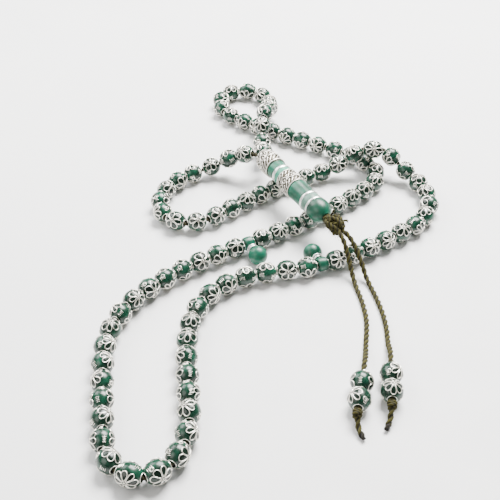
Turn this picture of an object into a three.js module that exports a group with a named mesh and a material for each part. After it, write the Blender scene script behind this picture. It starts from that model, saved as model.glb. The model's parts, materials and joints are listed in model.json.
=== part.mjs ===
// A misbaha, a string of 99 prayer beads: three sections of 33 patterned beads, two dividers with a
// ball on a short neck, a long leader (imame) and a tassel of two cords with two beads each. It lies
// on a flat surface at z = 0, in loops. Millimetres, +Z up, origin at the bottom centre of its box.
import * as THREE from 'three';

// Beads
const BEADS_PER_SECTION = 33;
const BEAD_RADIUS = 4;
const BEAD_LENGTH = 7.4;
const BEAD_BAND = 3.2;
const BEAD_END_RADIUS = 1.6;
const BEAD_SIDES = 8;
const BORE_RADIUS = 1.25;

// Cords
const CORD_RADIUS = 0.9;
const TASSEL_RADIUS = 0.95;
const CORD_SIDES = 6;
const TASSEL_SIDES = 8;
const TASSEL_STEP = 4.5;
const GAP = 0.3;

// Dividers: a barrel on the string, and a ball on a neck that sticks out sideways
const BARREL_RADIUS = 2.6;
const BARREL_LENGTH = 3.8;
const BALL_RADIUS = 3.6;
const BALL_OFFSET = 7.8;
const NECK_RADIUS = 1.5;
const DIVIDER_SIDES = 10;

// Leader: the middle of its string end, the way it points, and its turned pieces in order
const LEADER_START = new THREE.Vector3(5.5, 42.5, 13.2);
const LEADER_WAY = new THREE.Vector3(0.477, -0.879, 0).normalize();
const LEADER_BORE = 2.2;
const LEADER_SIDES = 12;
const CORD_SPACING = 0.98;
const KNOT_LENGTH = 9.5;
const KNOT_RADIUS = 3;

// Room left on both sides of a place where the string folds
const FOLD_ROOM = 0.5;

// How much further apart than their rims need, the beads stay in a bend
const BEND_EASE = 1.2;

// The box of the whole string, as laid out below, is centred on this point
const LAYOUT_CENTRE = new THREE.Vector3(12.18, 1.32, 0);

// Routes of the three sections, chosen by hand: from the leader to divider 2, on to divider 1, and
// back to the leader. The string lies on the surface and climbs only where it crosses itself.
const ROUTE_A = [
  [1.3, 44.9, 13], [-4.7, 48, 11], [-11, 49, 6.8], [-18, 47.3, 4.1], [-25, 43.5, 4], [-31, 37.5, 4],
  [-35.6, 30, 4], [-37, 21.5, 4], [-34.2, 12.8, 4], [-27, 7.8, 4], [-18.5, 9.4, 4], [-9.5, 16.5, 4],
  [0, 24.5, 4], [8, 30.8, 4], [18, 37.5, 4], [28, 43, 4], [36, 46.6, 5.2], [43, 49, 9.5],
  [49.5, 50.4, 12.8], [55, 50.2, 12.9], [61, 47.5, 8.8], [67, 42, 4.8], [71.7, 33.5, 4],
  [73.2, 24, 4], [71, 14.5, 4], [64.5, 6.3, 4], [55.5, -0.5, 4], [46.5, -6.8, 4], [37.5, -12.5, 4],
  [28.6, -16.8, 4],
];
const ROUTE_B = [
  [24.8, -18.4, 4], [17, -20.6, 4], [8, -22, 4], [0, -24.2, 4], [-8, -28.4, 4], [-15, -35, 4],
  [-19.2, -44, 4], [-21, -54, 4], [-21, -65, 4], [-20, -76, 4], [-19, -87, 4], [-18.6, -98, 4],
  [-21.5, -108.5, 4], [-28.5, -115, 4], [-37.2, -114, 4], [-43, -107, 4], [-44.7, -97, 4],
  [-46.3, -86, 4], [-47.5, -75, 4], [-48.5, -65, 4], [-48, -55, 4], [-45, -44.5, 4],
  [-39, -34.5, 4], [-31, -26, 4], [-22, -18.5, 4], [-12.5, -12, 4], [-2.5, -6, 4],
];
const ROUTE_C = [
  [1.1, -4.05, 4], [10, 1.5, 4], [20, 8.2, 4], [29.5, 15.5, 4], [38.5, 23, 4], [47, 30.5, 4],
  [53, 37.5, 4], [54.6, 45, 4], [50.6, 52, 4], [44, 57.8, 4], [37, 62.8, 4], [28, 68.2, 4],
  [18.5, 73.6, 4], [9, 79.4, 4], [0, 85.5, 4], [-8, 91.5, 4], [-13.8, 99, 4], [-14.8, 107.5, 4],
  [-10, 115.8, 4], [-1.6, 118, 4], [6, 113.3, 4], [9.6, 105.5, 4], [9.6, 97.5, 5],
  [8.4, 90.5, 9.2], [7.2, 84, 12.9], [6.2, 78, 12.7], [5.4, 71.5, 8.8], [5, 64.5, 4.5],
  [5.2, 57.8, 6.2], [5.8, 51, 11], [6.2, 45.6, 13],
];

// How many beads each joined run holds, in order along the section, and the places, counted in
// beads from the section's start, where the string folds
const SECTION_A = { runs: [1, 2, 3, 4, 4, 4, 4, 4, 3, 3, 1], folds: [3, 10, 22, 29] };
const SECTION_B = { runs: [1, 3, 3, 3, 3, 3, 1, 2, 3, 3, 4, 3, 1], folds: [7, 10, 13, 19, 22, 25] };
const SECTION_C = { runs: [1, 4, 4, 4, 4, 3, 2, 1, 3, 3, 2, 2], folds: [13, 20, 26, 31] };

// Tassel cords from the gathering knot to the end knots, and the bent ends below the beads
const TASSEL_ROUTE_1 = [
  [33.4, -10.7, 13.1], [34.4, -13, 12], [35.5, -15.5, 9.8], [36.4, -18, 6.9], [37.3, -20.7, 4],
  [38.1, -23.8, 1.9], [38.8, -27.5, 1.1], [39.8, -33, 1], [40.5, -39, 1],
  [40.7, -45, 1], [40.2, -51, 1], [39.4, -56.5, 1], [38.9, -60.5, 1.4], [38.4, -64, 2.6],
  [37.6, -68.4, 4],
];
const TASSEL_ROUTE_2 = [
  [35.1, -9.8, 13.1], [36.9, -11.9, 12.2], [38.6, -14.4, 10.4], [40.1, -17, 7.9],
  [41.5, -19.7, 5], [42.6, -22.6, 2.4], [43.8, -26.2, 1.2],
  [45.2, -32, 1], [46.3, -38, 1], [47, -44, 1], [47.2, -50, 1], [47, -54, 1],
  [46.8, -57.5, 1.5], [46.7, -60.8, 2.8], [46.5, -64.6, 4],
];
const TASSEL_WAY_1 = new THREE.Vector3(-0.2, -0.98, 0).normalize();
const TASSEL_WAY_2 = new THREE.Vector3(-0.1, -0.995, 0).normalize();
const STRAIGHT_BEFORE_BEADS = 5.4;
const END_ROUTE_1 = [[33, -92.6, 3.3], [33.3, -95.2, 1.7], [34.6, -98.4, 1]];
const END_ROUTE_2 = [[43.8, -89.4, 3.3], [43.1, -91.9, 1.7], [41.7, -94.8, 1]];
const END_KNOT_RADIUS = 1.7;

const material = (color, roughness, metalness) => (
  new THREE.MeshStandardMaterial({ color, roughness, metalness })
);
const GREEN_BEAD = material('#1d6048', 0.22, 0.1);
const JADE = material('#2c9a74', 0.18, 0);
const PALE_JADE = material('#79c4ae', 0.22, 0);
const GREY_JADE = material('#93b5a5', 0.22, 0);
const SILVER = material('#c8ccc6', 0.32, 0.9);
const OLIVE_CORD = material('#5e5a2e', 0.9, 0);

const misbaha = new THREE.Group();
misbaha.position.copy(LAYOUT_CENTRE).negate();

function addMesh(name, geometry, surface, parent = misbaha) {
  const mesh = new THREE.Mesh(geometry, surface);
  mesh.name = name;
  parent.add(mesh);
  return mesh;
}

// A smooth curve through points chosen by hand, measured by its own length. The beads on it never
// reach below the surface.
function smoothRoute(points) {
  const curve = new THREE.CatmullRomCurve3(points.map((p) => new THREE.Vector3(...p)));
  curve.arcLengthDivisions = 60 * points.length;
  const length = curve.getLength();
  const at = (along) => {
    const place = curve.getPointAt(Math.min(along / length, 1));
    place.z = Math.max(place.z, BEAD_RADIUS);
    return place;
  };
  return { length, at, way: (along) => curve.getTangentAt(Math.min(along / length, 1)) };
}

// The places where one bead ends and the next begins: each bead takes a straight stretch of the
// route, longer where the route bends, so that the rims of the beads' flat ends stay apart
function placeJoints(route, folds, slack) {
  const joints = [route.at(0)];
  let along = 0;
  for (let bead = 0; bead < BEADS_PER_SECTION; bead += 1) {
    const bend = route.way(along).angleTo(route.way(along + BEAD_LENGTH));
    const room = folds.includes(bead) || folds.includes(bead + 1) ? FOLD_ROOM : 0;
    const bendRoom = 2 * BEND_EASE * BEAD_END_RADIUS * Math.tan(bend / 2);
    const stretch = BEAD_LENGTH + slack + room + bendRoom;
    let low = along + BEAD_LENGTH / 2;
    let high = along + 2 * BEAD_LENGTH;
    for (let halving = 0; halving < 24; halving += 1) {
      const middle = (low + high) / 2;
      if (route.at(middle).distanceTo(joints[bead]) < stretch) low = middle;
      else high = middle;
    }
    along = low;
    joints.push(route.at(along));
  }
  return { joints, along };
}

// The slack between beads that makes a section's beads fill its route from end to end
function threadSection(points, folds) {
  const route = smoothRoute(points);
  let low = -1;
  let high = 2;
  for (let halving = 0; halving < 24; halving += 1) {
    const middle = (low + high) / 2;
    if (placeJoints(route, folds, middle).along < route.length - 0.001) low = middle;
    else high = middle;
  }
  return placeJoints(route, folds, low).joints;
}

// A closed solid through rings: each has a centre, an axis and a radius, and one of its sides faces
// straight down. The last ring joins the first, unless both are on the axis.
function ringSolid(rings, sides) {
  const profile = rings.map((ring, index) => new THREE.Vector2(ring.radius, index));
  const closed = rings[0].radius > 0;
  if (closed) profile.push(profile[0]);
  const geometry = new THREE.LatheGeometry(profile, sides, Math.PI / sides);
  const places = geometry.attributes.position;
  for (let index = 0; index < places.count; index += 1) {
    const ring = rings[Math.round(places.getY(index))];
    const side = new THREE.Vector3().crossVectors(ring.axis, new THREE.Vector3(0, 0, 1)).normalize();
    const up = new THREE.Vector3().crossVectors(side, ring.axis);
    const place = ring.at.clone();
    place.addScaledVector(side, places.getX(index));
    place.addScaledVector(up, places.getZ(index));
    places.setXYZ(index, place.x, place.y, place.z);
  }
  geometry.computeVertexNormals();
  return geometry;
}

const wayBetween = (from, to) => to.clone().sub(from).normalize();
const middleOf = (from, to) => from.clone().add(to).multiplyScalar(0.5);

// A run of beads as one body, with its bore, between joints[first] and joints[first + count]
function beadRun(joints, first, count) {
  const rings = [];
  const addRing = (at, axis, radius) => rings.push({ at, axis, radius });
  const beadRing = (bead, offset, radius) => {
    const axis = wayBetween(joints[bead], joints[bead + 1]);
    const at = middleOf(joints[bead], joints[bead + 1]).addScaledVector(axis, offset);
    addRing(at, axis, radius);
  };
  const last = first + count - 1;
  const bandRadius = BEAD_RADIUS / Math.cos(Math.PI / BEAD_SIDES);
  for (let bead = first; bead <= last; bead += 1) {
    beadRing(bead, -BEAD_LENGTH / 2, BEAD_END_RADIUS);
    beadRing(bead, -BEAD_BAND / 2, bandRadius);
    beadRing(bead, BEAD_BAND / 2, bandRadius);
    beadRing(bead, BEAD_LENGTH / 2, BEAD_END_RADIUS);
  }
  beadRing(last, BEAD_LENGTH / 2, BORE_RADIUS);
  for (let joint = last; joint > first; joint -= 1) {
    addRing(joints[joint], wayBetween(joints[joint - 1], joints[joint + 1]), BORE_RADIUS);
  }
  beadRing(first, -BEAD_LENGTH / 2, BORE_RADIUS);
  return ringSolid(rings, BEAD_SIDES);
}

function addSection(letter, joints, runs) {
  let bead = 0;
  runs.forEach((count) => {
    const firstName = String(bead + 1).padStart(2, '0');
    const lastName = String(bead + count).padStart(2, '0');
    const name = count === 1 ? `bead_${letter}${firstName}` : `beads_${letter}${firstName}_${lastName}`;
    addMesh(name, beadRun(joints, bead, count), GREEN_BEAD);
    bead += count;
  });
}

// A round solid along a line of points, tapered to the given radii
function roundSolid(points, radii, sides) {
  const rings = points.map((at, index) => {
    const before = points[Math.max(index - 1, 0)];
    const after = points[Math.min(index + 1, points.length - 1)];
    return { at, axis: wayBetween(before, after), radius: radii[index] };
  });
  const start = { ...rings[0], radius: 0 };
  const end = { ...rings[rings.length - 1], radius: 0 };
  return ringSolid([start, ...rings, end], sides);
}

const jointsA = threadSection(ROUTE_A, SECTION_A.folds);
const jointsB = threadSection(ROUTE_B, SECTION_B.folds);
const jointsC = threadSection(ROUTE_C, SECTION_C.folds);
addSection('a', jointsA, SECTION_A.runs);
addSection('b', jointsB, SECTION_B.runs);
addSection('c', jointsC, SECTION_C.runs);

// Places along the leader, and to the side of its axis
const leaderSide = new THREE.Vector3(-LEADER_WAY.y, LEADER_WAY.x, 0);
function onLeader(along, aside) {
  return LEADER_START.clone().addScaledVector(LEADER_WAY, along).addScaledVector(leaderSide, aside);
}

// Leader: turned pieces on one axis, each a tube. A profile lists distance along and radius.
const leader = new THREE.Group();
leader.position.copy(LEADER_START);
leader.quaternion.setFromUnitVectors(new THREE.Vector3(0, 1, 0), LEADER_WAY);
misbaha.add(leader);

function addLeaderPiece(name, start, outline, surface) {
  const end = outline[outline.length - 1][0];
  const profile = outline.map(([along, radius]) => new THREE.Vector2(radius, along));
  profile.push(new THREE.Vector2(LEADER_BORE, end), new THREE.Vector2(LEADER_BORE, 0), profile[0]);
  const piece = addMesh(name, new THREE.LatheGeometry(profile, LEADER_SIDES), surface, leader);
  piece.position.y = start;
}

const LEADER_PIECES = [
  ['imame_cap', SILVER, [[0, 2.9], [1.2, 4], [3.5, 4.8], [7.5, 4.8], [10.9, 4.3]]],
  ['imame_upper_band', JADE, [[0, 4.1], [3.4, 4.1]]],
  ['imame_wide_ring', SILVER, [[0, 4.3], [1.4, 4.3]]],
  ['imame_pale_band', PALE_JADE, [[0, 4.1], [2, 4.1]]],
  ['imame_sleeve', SILVER, [[0, 4.3], [1.2, 4.7], [7.6, 4.7], [8.8, 4.3]]],
  ['imame_barrel', JADE, [[0, 4.3], [7.9, 4.2]]],
  ['imame_upper_ring', SILVER, [[0, 4.4], [1, 4.4]]],
  ['imame_lower_band', GREY_JADE, [[0, 4.2], [2.8, 4.2]]],
  ['imame_lower_ring', SILVER, [[0, 4.5], [0.9, 4.5]]],
  ['imame_dome', JADE, [[0, 4.6], [2.8, 4.65], [5, 4.1], [6.4, 3.35], [7.2, 2.7]]],
];
let leaderLength = 0;
LEADER_PIECES.forEach(([name, surface, outline]) => {
  addLeaderPiece(name, leaderLength, outline, surface);
  leaderLength += outline[outline.length - 1][0] + GAP;
});

// Main cord: down one side of the leader's bore, round the whole string and up the other side
const mainRoute = [
  onLeader(leaderLength - 1, -CORD_SPACING),
  onLeader(0, -CORD_SPACING),
  ...jointsA,
  ...jointsB,
  ...jointsC,
  onLeader(0, CORD_SPACING),
  onLeader(leaderLength - 1, CORD_SPACING),
];
addMesh('main_cord', roundSolid(mainRoute, mainRoute.map(() => CORD_RADIUS), CORD_SIDES), OLIVE_CORD);

// Dividers: the ball lies on the surface beside the string
function addDivider(number, before, after, ballWay) {
  const middle = middleOf(before, after);
  const axis = wayBetween(before, after);
  const half = BARREL_LENGTH / 2;
  const barrelRing = (offset, radius) => (
    { at: middle.clone().addScaledVector(axis, offset), axis, radius }
  );
  const barrel = ringSolid([
    barrelRing(-half, BARREL_RADIUS - GAP),
    barrelRing(-half + GAP, BARREL_RADIUS),
    barrelRing(half - GAP, BARREL_RADIUS),
    barrelRing(half, BARREL_RADIUS - GAP),
    barrelRing(half, BORE_RADIUS),
    barrelRing(-half, BORE_RADIUS),
  ], DIVIDER_SIDES);
  addMesh(`divider_${number}_barrel`, barrel, JADE);

  const drop = middle.z - BALL_RADIUS;
  const aside = Math.sqrt(BALL_OFFSET ** 2 - drop ** 2);
  const outward = new THREE.Vector3(-axis.y, axis.x, 0).normalize().multiplyScalar(ballWay * aside);
  outward.z = -drop;
  outward.normalize();
  const neckStart = BARREL_RADIUS + GAP;
  const ballStart = BALL_OFFSET - Math.sqrt(BALL_RADIUS ** 2 - NECK_RADIUS ** 2);
  const outline = [[neckStart, NECK_RADIUS], [ballStart, NECK_RADIUS]];
  const ballSteps = 6;
  const firstAngle = Math.asin(NECK_RADIUS / BALL_RADIUS);
  for (let step = 1; step <= ballSteps; step += 1) {
    const angle = firstAngle + (step / ballSteps) * (Math.PI - firstAngle);
    outline.push([BALL_OFFSET - BALL_RADIUS * Math.cos(angle), BALL_RADIUS * Math.sin(angle)]);
  }
  outline.pop();
  const points = outline.map(([along]) => middle.clone().addScaledVector(outward, along));
  points.push(middle.clone().addScaledVector(outward, BALL_OFFSET + BALL_RADIUS));
  const radii = [...outline.map(([, radius]) => radius), NECK_RADIUS / 2];
  addMesh(`divider_${number}_ball`, roundSolid(points, radii, DIVIDER_SIDES), JADE);
}
addDivider(1, jointsB[BEADS_PER_SECTION], jointsC[0], -1);
addDivider(2, jointsA[BEADS_PER_SECTION], jointsB[0], -1);

// Gathering knot, close to the end of the dome
const knotProfile = [[0, 0.5], [0.06, 0.66], [0.22, 0.7], [0.36, 0.94], [0.6, 1], [0.88, 0.92], [1, 0.65]];
const knotStart = leaderLength;
addMesh('gathering_knot', roundSolid(
  knotProfile.map(([along]) => onLeader(knotStart + along * KNOT_LENGTH, 0)),
  knotProfile.map(([, share]) => share * KNOT_RADIUS),
  TASSEL_SIDES,
), OLIVE_CORD);

// One leg of the tassel: a cord, two beads on its straight end, and a knot with a short tail
function addTasselLeg(number, route, way, endRoute) {
  const start = new THREE.Vector3(...route[route.length - 1]);
  const along = (distance) => start.clone().addScaledVector(way, distance);
  const firstBead = STRAIGHT_BEFORE_BEADS;
  const pitch = BEAD_LENGTH + GAP;
  const cordEnd = firstBead + 2 * pitch;
  const path = new THREE.CatmullRomCurve3([
    ...route.map((p) => new THREE.Vector3(...p)),
    along(firstBead),
    along(firstBead + pitch),
    along(cordEnd),
  ]);
  const section = new THREE.Shape(
    Array.from({ length: TASSEL_SIDES }, (_, side) => {
      const angle = (2 * Math.PI * side) / TASSEL_SIDES;
      return new THREE.Vector2(TASSEL_RADIUS * Math.cos(angle), TASSEL_RADIUS * Math.sin(angle));
    }),
  );
  const steps = Math.round(path.getLength() / TASSEL_STEP);
  const cord = new THREE.ExtrudeGeometry(section, { steps, extrudePath: path });
  addMesh(`tassel_cord_${number}`, cord, OLIVE_CORD);

  ['upper', 'lower'].forEach((place, index) => {
    const ends = [along(firstBead + index * pitch), along(firstBead + (index + 1) * pitch)];
    addMesh(`tassel_${number}_${place}_bead`, beadRun(ends, 0, 1), GREEN_BEAD);
  });

  const knot = [[GAP, 0.7], [0.9, 0.97], [2, 1], [3.2, 0.9], [3.9, 0.6]];
  const points = knot.map(([distance]) => along(cordEnd + distance));
  const radii = knot.map(([, share]) => share * END_KNOT_RADIUS);
  endRoute.forEach((p) => {
    points.push(new THREE.Vector3(...p));
    radii.push(TASSEL_RADIUS);
  });
  addMesh(`end_knot_${number}`, roundSolid(points, radii, TASSEL_SIDES), OLIVE_CORD);
}
addTasselLeg(1, TASSEL_ROUTE_1, TASSEL_WAY_1, END_ROUTE_1);
addTasselLeg(2, TASSEL_ROUTE_2, TASSEL_WAY_2, END_ROUTE_2);

export default misbaha;
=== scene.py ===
"""The look of a misbaha: 99 patterned beads on a cord, two dividers, a leader and a tassel.

Lengths of the object are in millimetres in the layout's own frame, as in the CAD model, and
to_frame() turns them into metres in the shared frame. The camera, floor, lights and the depth of
bump are in metres.
"""
import json
import math
import random

import bmesh
import bpy
import numpy as np
from mathutils import Matrix, Vector


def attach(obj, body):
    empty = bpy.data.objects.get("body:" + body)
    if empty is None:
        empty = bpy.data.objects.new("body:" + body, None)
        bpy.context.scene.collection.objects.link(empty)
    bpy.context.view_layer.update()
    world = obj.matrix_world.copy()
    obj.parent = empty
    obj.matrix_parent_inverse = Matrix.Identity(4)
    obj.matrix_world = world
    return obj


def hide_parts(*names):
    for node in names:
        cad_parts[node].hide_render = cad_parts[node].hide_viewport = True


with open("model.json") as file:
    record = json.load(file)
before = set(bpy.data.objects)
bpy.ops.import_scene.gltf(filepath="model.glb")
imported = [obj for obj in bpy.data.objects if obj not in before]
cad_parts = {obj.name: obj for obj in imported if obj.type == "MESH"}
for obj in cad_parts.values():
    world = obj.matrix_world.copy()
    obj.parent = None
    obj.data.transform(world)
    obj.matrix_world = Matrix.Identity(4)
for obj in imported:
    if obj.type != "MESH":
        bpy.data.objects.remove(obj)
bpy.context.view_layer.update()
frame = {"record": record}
draw = random.Random(33)

MM = 0.001
LAYOUT_CENTRE = np.array((12.18, 1.32, 0.0))

# Bead sizes, and the room between pieces: GAP as in the CAD model, FOLD_ROOM more at a fold, and
# BEND_EASE times what the rims of two beads need where the string bends
BEADS_PER_SECTION = 33
BEAD_RADIUS = 4.0
BEAD_LENGTH = 7.4
BEAD_END_RADIUS = 1.6
GAP = 0.3
BEAD_PITCH = BEAD_LENGTH + GAP
FOLD_ROOM = 0.5
BEND_EASE = 1.2

# The string's three sections from the leader and back, and the beads after which it folds.
# A point without its height has the beads on the surface.
ROUTES = {
    "a": [
        (1.3, 44.9, 13), (-4.7, 48, 11), (-11, 49, 6.8), (-18, 47.3, 4.1), (-25, 43.5),
        (-31, 37.5), (-35.6, 30), (-37, 21.5), (-34.2, 12.8), (-27, 7.8), (-18.5, 9.4),
        (-9.5, 16.5), (0, 24.5), (8, 30.8), (18, 37.5), (28, 43), (36, 46.6, 5.2), (43, 49, 9.5),
        (49.5, 50.4, 12.8), (55, 50.2, 12.9), (61, 47.5, 8.8), (67, 42, 4.8), (71.7, 33.5),
        (73.2, 24), (71, 14.5), (64.5, 6.3), (55.5, -0.5), (46.5, -6.8), (37.5, -12.5),
        (28.6, -16.8),
    ],
    "b": [
        (24.8, -18.4), (17, -20.6), (8, -22), (0, -24.2), (-8, -28.4), (-15, -35), (-19.2, -44),
        (-21, -54), (-21, -65), (-20, -76), (-19, -87), (-18.6, -98), (-21.5, -108.5),
        (-28.5, -115), (-37.2, -114), (-43, -107), (-44.7, -97), (-46.3, -86), (-47.5, -75),
        (-48.5, -65), (-48, -55), (-45, -44.5), (-39, -34.5), (-31, -26), (-22, -18.5),
        (-12.5, -12), (-2.5, -6),
    ],
    "c": [
        (1.1, -4.05), (10, 1.5), (20, 8.2), (29.5, 15.5), (38.5, 23), (47, 30.5), (53, 37.5),
        (54.6, 45), (50.6, 52), (44, 57.8), (37, 62.8), (28, 68.2), (18.5, 73.6), (9, 79.4),
        (0, 85.5), (-8, 91.5), (-13.8, 99), (-14.8, 107.5), (-10, 115.8), (-1.6, 118), (6, 113.3),
        (9.6, 105.5), (9.6, 97.5, 5), (8.4, 90.5, 9.2), (7.2, 84, 12.9), (6.2, 78, 12.7),
        (5.4, 71.5, 8.8), (5, 64.5, 4.5), (5.2, 57.8, 6.2), (5.8, 51, 11), (6.2, 45.6, 13),
    ],
}
FOLDS = {"a": [3, 10, 22, 29], "b": [7, 10, 13, 19, 22, 25], "c": [13, 20, 26, 31]}

# The leader, from its string end
LEADER_START = np.array((5.5, 42.5, 13.2))
LEADER_WAY = np.array((0.477, -0.879, 0.0)) / math.hypot(0.477, 0.879)
LEADER_SIDE = np.array((-LEADER_WAY[1], LEADER_WAY[0], 0.0))
CORD_SPACING = 0.98

# The gathering knot, by its distance from the leader's string end, and the tassel
KNOT_START = 49.3
KNOT_LENGTH = 9.5
TASSEL_ROUTES = [
    [
        (33.4, -10.7, 13.1), (34.4, -13, 12), (35.5, -15.5, 9.8), (36.4, -18, 6.9),
        (37.3, -20.7, 4), (38.1, -23.8, 1.9), (38.8, -27.5, 1.1),
        (39.8, -33, 1), (40.5, -39, 1), (40.7, -45, 1), (40.2, -51, 1), (39.4, -56.5, 1),
        (38.9, -60.5, 1.4), (38.4, -64, 2.6), (37.6, -68.4, 4),
    ],
    [
        (35.1, -9.8, 13.1), (36.9, -11.9, 12.2), (38.6, -14.4, 10.4), (40.1, -17, 7.9),
        (41.5, -19.7, 5), (42.6, -22.6, 2.4), (43.8, -26.2, 1.2),
        (45.2, -32, 1), (46.3, -38, 1), (47, -44, 1), (47.2, -50, 1), (47, -54, 1),
        (46.8, -57.5, 1.5), (46.7, -60.8, 2.8), (46.5, -64.6, 4),
    ],
]
TASSEL_WAYS = [np.array((-0.2, -0.98, 0.0)), np.array((-0.1, -0.995, 0.0))]
TAILS = [
    [(33, -92.6, 3.3), (33.3, -95.2, 1.7), (34.6, -98.4, 1)],
    [(43.8, -89.4, 3.3), (43.1, -91.9, 1.7), (41.7, -94.8, 1)],
]
STRAIGHT_BEFORE_BEADS = 5.4
TASSEL_CORD_RADIUS = 0.95
MAIN_CORD_RADIUS = 0.86
TWIST_PITCH = 5.2

# How finely routes are measured and searched
SPOTS_PER_POINT = 60
SECTION_MARKS = 1200
HALVINGS = 18
END_TOLERANCE = 0.001


def unit(rows):
    rows = np.asarray(rows, float)
    return rows / np.linalg.norm(rows, axis=-1, keepdims=True)


def to_frame(points):
    return (np.asarray(points, float) - LAYOUT_CENTRE) * MM


def turns(count):
    """Angles spread evenly round a circle."""
    return 2 * np.pi * np.arange(count) / count


def fan(angles, first, second):
    """Directions at angles from first towards second."""
    return np.cos(angles)[..., None] * first + np.sin(angles)[..., None] * second


# ---- camera

VIEW_ELEVATION = math.radians(38)
VIEW_DISTANCE = 0.350
FOCAL_LENGTH = 65.3
aim = Vector(to_frame((0, -4, 0)))
view_back = Vector((0, -math.cos(VIEW_ELEVATION), math.sin(VIEW_ELEVATION)))
camera_data = bpy.data.cameras.new("camera")
camera_data.lens = FOCAL_LENGTH
camera_data.sensor_width = 36
camera_data.clip_start = 0.01
camera = bpy.data.objects.new("camera", camera_data)
camera.location = aim + view_back * VIEW_DISTANCE
camera.rotation_mode = "QUATERNION"
camera.rotation_quaternion = (-view_back).to_track_quat("-Z", "Y")
bpy.context.scene.collection.objects.link(camera)
bpy.context.scene.camera = camera


# ---- curves

def catmull_rom(points, spots):
    """Points of the centripetal Catmull-Rom curve through points, at spots from 0 to 1."""
    points = np.asarray(points, float)
    ends = np.vstack([2 * points[0] - points[1], points, 2 * points[-1] - points[-2]])
    reached = np.clip(spots, 0, 1) * (len(points) - 1)
    cell = np.minimum(reached.astype(int), len(points) - 2)
    t = (reached - cell)[:, None]
    p0, p1, p2, p3 = (ends[cell + k] for k in range(4))
    d0, d1, d2 = (
        np.sqrt(np.linalg.norm(b - a, axis=1))[:, None]
        for a, b in ((p0, p1), (p1, p2), (p2, p3))
    )
    m1 = d1 * ((p1 - p0) / d0 - (p2 - p0) / (d0 + d1) + (p2 - p1) / d1)
    m2 = d1 * ((p2 - p1) / d1 - (p3 - p1) / (d1 + d2) + (p3 - p2) / d2)
    return p1 + m1 * t + (3 * (p2 - p1) - 2 * m1 - m2) * t**2 + (2 * (p1 - p2) + m1 + m2) * t**3


class Route:
    """A smooth curve through chosen points, measured by its own length."""

    def __init__(self, points, floor=None):
        self.spots = np.linspace(0, 1, SPOTS_PER_POINT * len(points) + 1)
        self.line = catmull_rom(points, self.spots)
        steps = np.linalg.norm(np.diff(self.line, axis=0), axis=1)
        self.along = np.concatenate([[0], np.cumsum(steps)])
        self.length = self.along[-1]
        self.points = np.asarray(points, float)
        self.floor = floor

    def at(self, along):
        point = np.array([np.interp(along, self.along, column) for column in self.line.T])
        if self.floor is not None:
            point[2] = max(point[2], self.floor)
        return point

    def way(self, along):
        spot = np.interp(along, self.along, self.spots)
        two = catmull_rom(self.points, np.array([spot - 1e-4, spot + 1e-4]))
        return unit(two[1] - two[0])


def place_joints(route, ways, folds, slack):
    """Where the beads of a section meet when slack is left at each, and how far that reaches."""
    joints = [route.at(0)]
    along = 0.0
    for bead in range(BEADS_PER_SECTION):
        bend = math.acos(min(1.0, float(ways(along) @ ways(along + BEAD_LENGTH))))
        room = FOLD_ROOM if bead in folds or bead + 1 in folds else 0
        bend_room = 2 * BEND_EASE * BEAD_END_RADIUS * math.tan(bend / 2)
        stretch = BEAD_LENGTH + slack + room + bend_room
        low, high = along + BEAD_LENGTH / 2, along + 2 * BEAD_LENGTH
        for _ in range(HALVINGS):
            middle = (low + high) / 2
            if np.linalg.norm(route.at(middle) - joints[bead]) < stretch:
                low = middle
            else:
                high = middle
        along = low
        joints.append(route.at(along))
    return joints, along


def thread_section(letter):
    """The places where one bead ends and the next begins, spread evenly along a section."""
    route = Route([(*point, BEAD_RADIUS)[:3] for point in ROUTES[letter]], BEAD_RADIUS)
    marks = np.linspace(0, route.length, SECTION_MARKS)
    directions = np.array([route.way(mark) for mark in marks])

    def ways(along):
        return unit([np.interp(along, marks, column) for column in directions.T])

    low, high = -1.0, 2.0
    for _ in range(HALVINGS):
        middle = (low + high) / 2
        reached = place_joints(route, ways, FOLDS[letter], middle)[1]
        if reached < route.length - END_TOLERANCE:
            low = middle
        else:
            high = middle
    return place_joints(route, ways, FOLDS[letter], low)[0]


def resample(points, step, smooth=True):
    """Points at even steps along a route, with their distances."""
    if smooth:
        route = Route(points)
        line, along = route.line, route.along
    else:
        line = np.asarray(points, float)
        along = np.concatenate([[0], np.cumsum(np.linalg.norm(np.diff(line, axis=0), axis=1))])
    count = max(2, round(along[-1] / step) + 1)
    marks = np.linspace(0, along[-1], count)
    return np.stack([np.interp(marks, along, column) for column in line.T], axis=1), marks


def frames_along(line):
    """Two directions across a line at each point, carried along it without twisting."""
    way = unit(np.gradient(line, axis=0))
    across = [unit(np.cross(way[0], (0.3, 0.2, 1.0)))]
    for i in range(1, len(line)):
        side = across[-1] - way[i] * (across[-1] @ way[i])
        across.append(unit(side))
    across = np.array(across)
    return across, np.cross(way, across)


joints = {letter: thread_section(letter) for letter in "abc"}


# ---- meshes

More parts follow.
